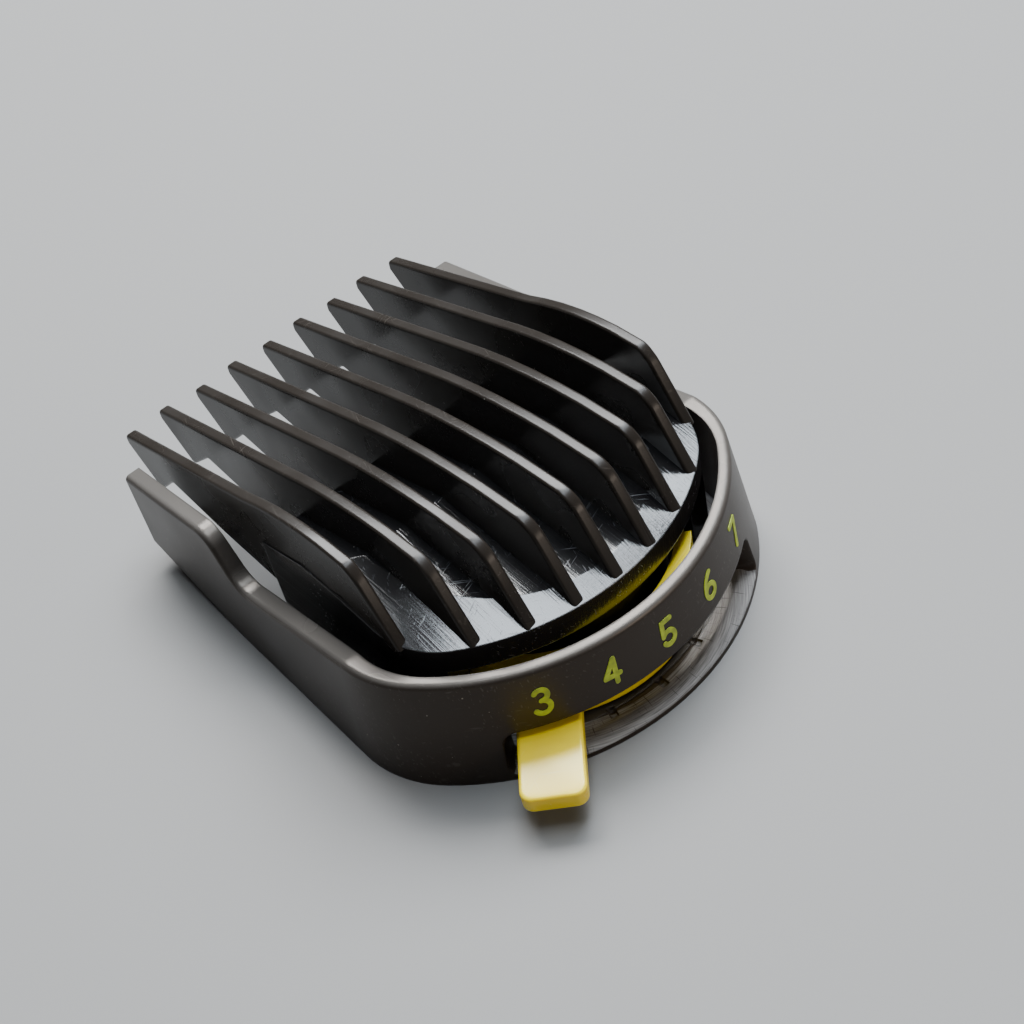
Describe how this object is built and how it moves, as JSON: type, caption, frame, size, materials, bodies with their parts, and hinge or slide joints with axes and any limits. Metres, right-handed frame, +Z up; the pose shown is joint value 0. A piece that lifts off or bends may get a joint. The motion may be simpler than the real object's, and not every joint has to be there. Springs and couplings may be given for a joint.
{
  "type": "adjustable hair clipper guard comb",
  "caption": "Adjustable guard comb for a hair trimmer: U-shaped band, toothed comb that lifts, and a yellow lever ring that sets the cutting length.",
  "frame": {"origin": "on the base plane, on the axis that the thumb lever turns about, which is also the axis of the round socket", "axes": "+Z up from the base plane, +Y towards the tips of the teeth, +X across the teeth; the lever is on the -X side at rest"},
  "size_m": [0.0418, 0.0577, 0.0185],
  "materials": {
    "charcoal_plastic": "satin charcoal",
    "black_plastic": "polished black",
    "yellow_plastic": "bright yellow",
    "numeral_print": "lime print"
  },
  "bodies": {
    "band": {"outer_band": "charcoal_plastic", "retainer_plate": "charcoal_plastic", "guide_sleeve": "charcoal_plastic", "numeral_3": "numeral_print", "numeral_4": "numeral_print", "numeral_5": "numeral_print", "numeral_6": "numeral_print", "numeral_7": "numeral_print"},
    "lever": {"cam_ring": "yellow_plastic", "thumb_lever": "yellow_plastic", "click_nub": "yellow_plastic"},
    "comb": {"comb_base": "black_plastic", "lift_skirt": "black_plastic", "lift_pin_left": "black_plastic", "lift_pin_right": "black_plastic", "tooth_1": "black_plastic", "tooth_2": "black_plastic", "tooth_3": "black_plastic", "tooth_4": "black_plastic", "tooth_5": "black_plastic", "tooth_6": "black_plastic", "tooth_7": "black_plastic", "tooth_8": "black_plastic", "tooth_9": "black_plastic"}
  },
  "joints": [
    {"name": "lever_swing", "type": "hinge", "parent": "band", "child": "lever", "pos_m": [0, 0, 0], "axis": [0, 0, 1], "range_deg": [0, 80]},
    {"name": "comb_lift", "type": "slide", "parent": "band", "child": "comb", "axis": [0, 0, 1], "range_m": [0, 0.004]}
  ],
  "couplings": [
    {"joint": "comb_lift", "follows": "lever_swing", "m_per_rad": 0.0028648}
  ]
}
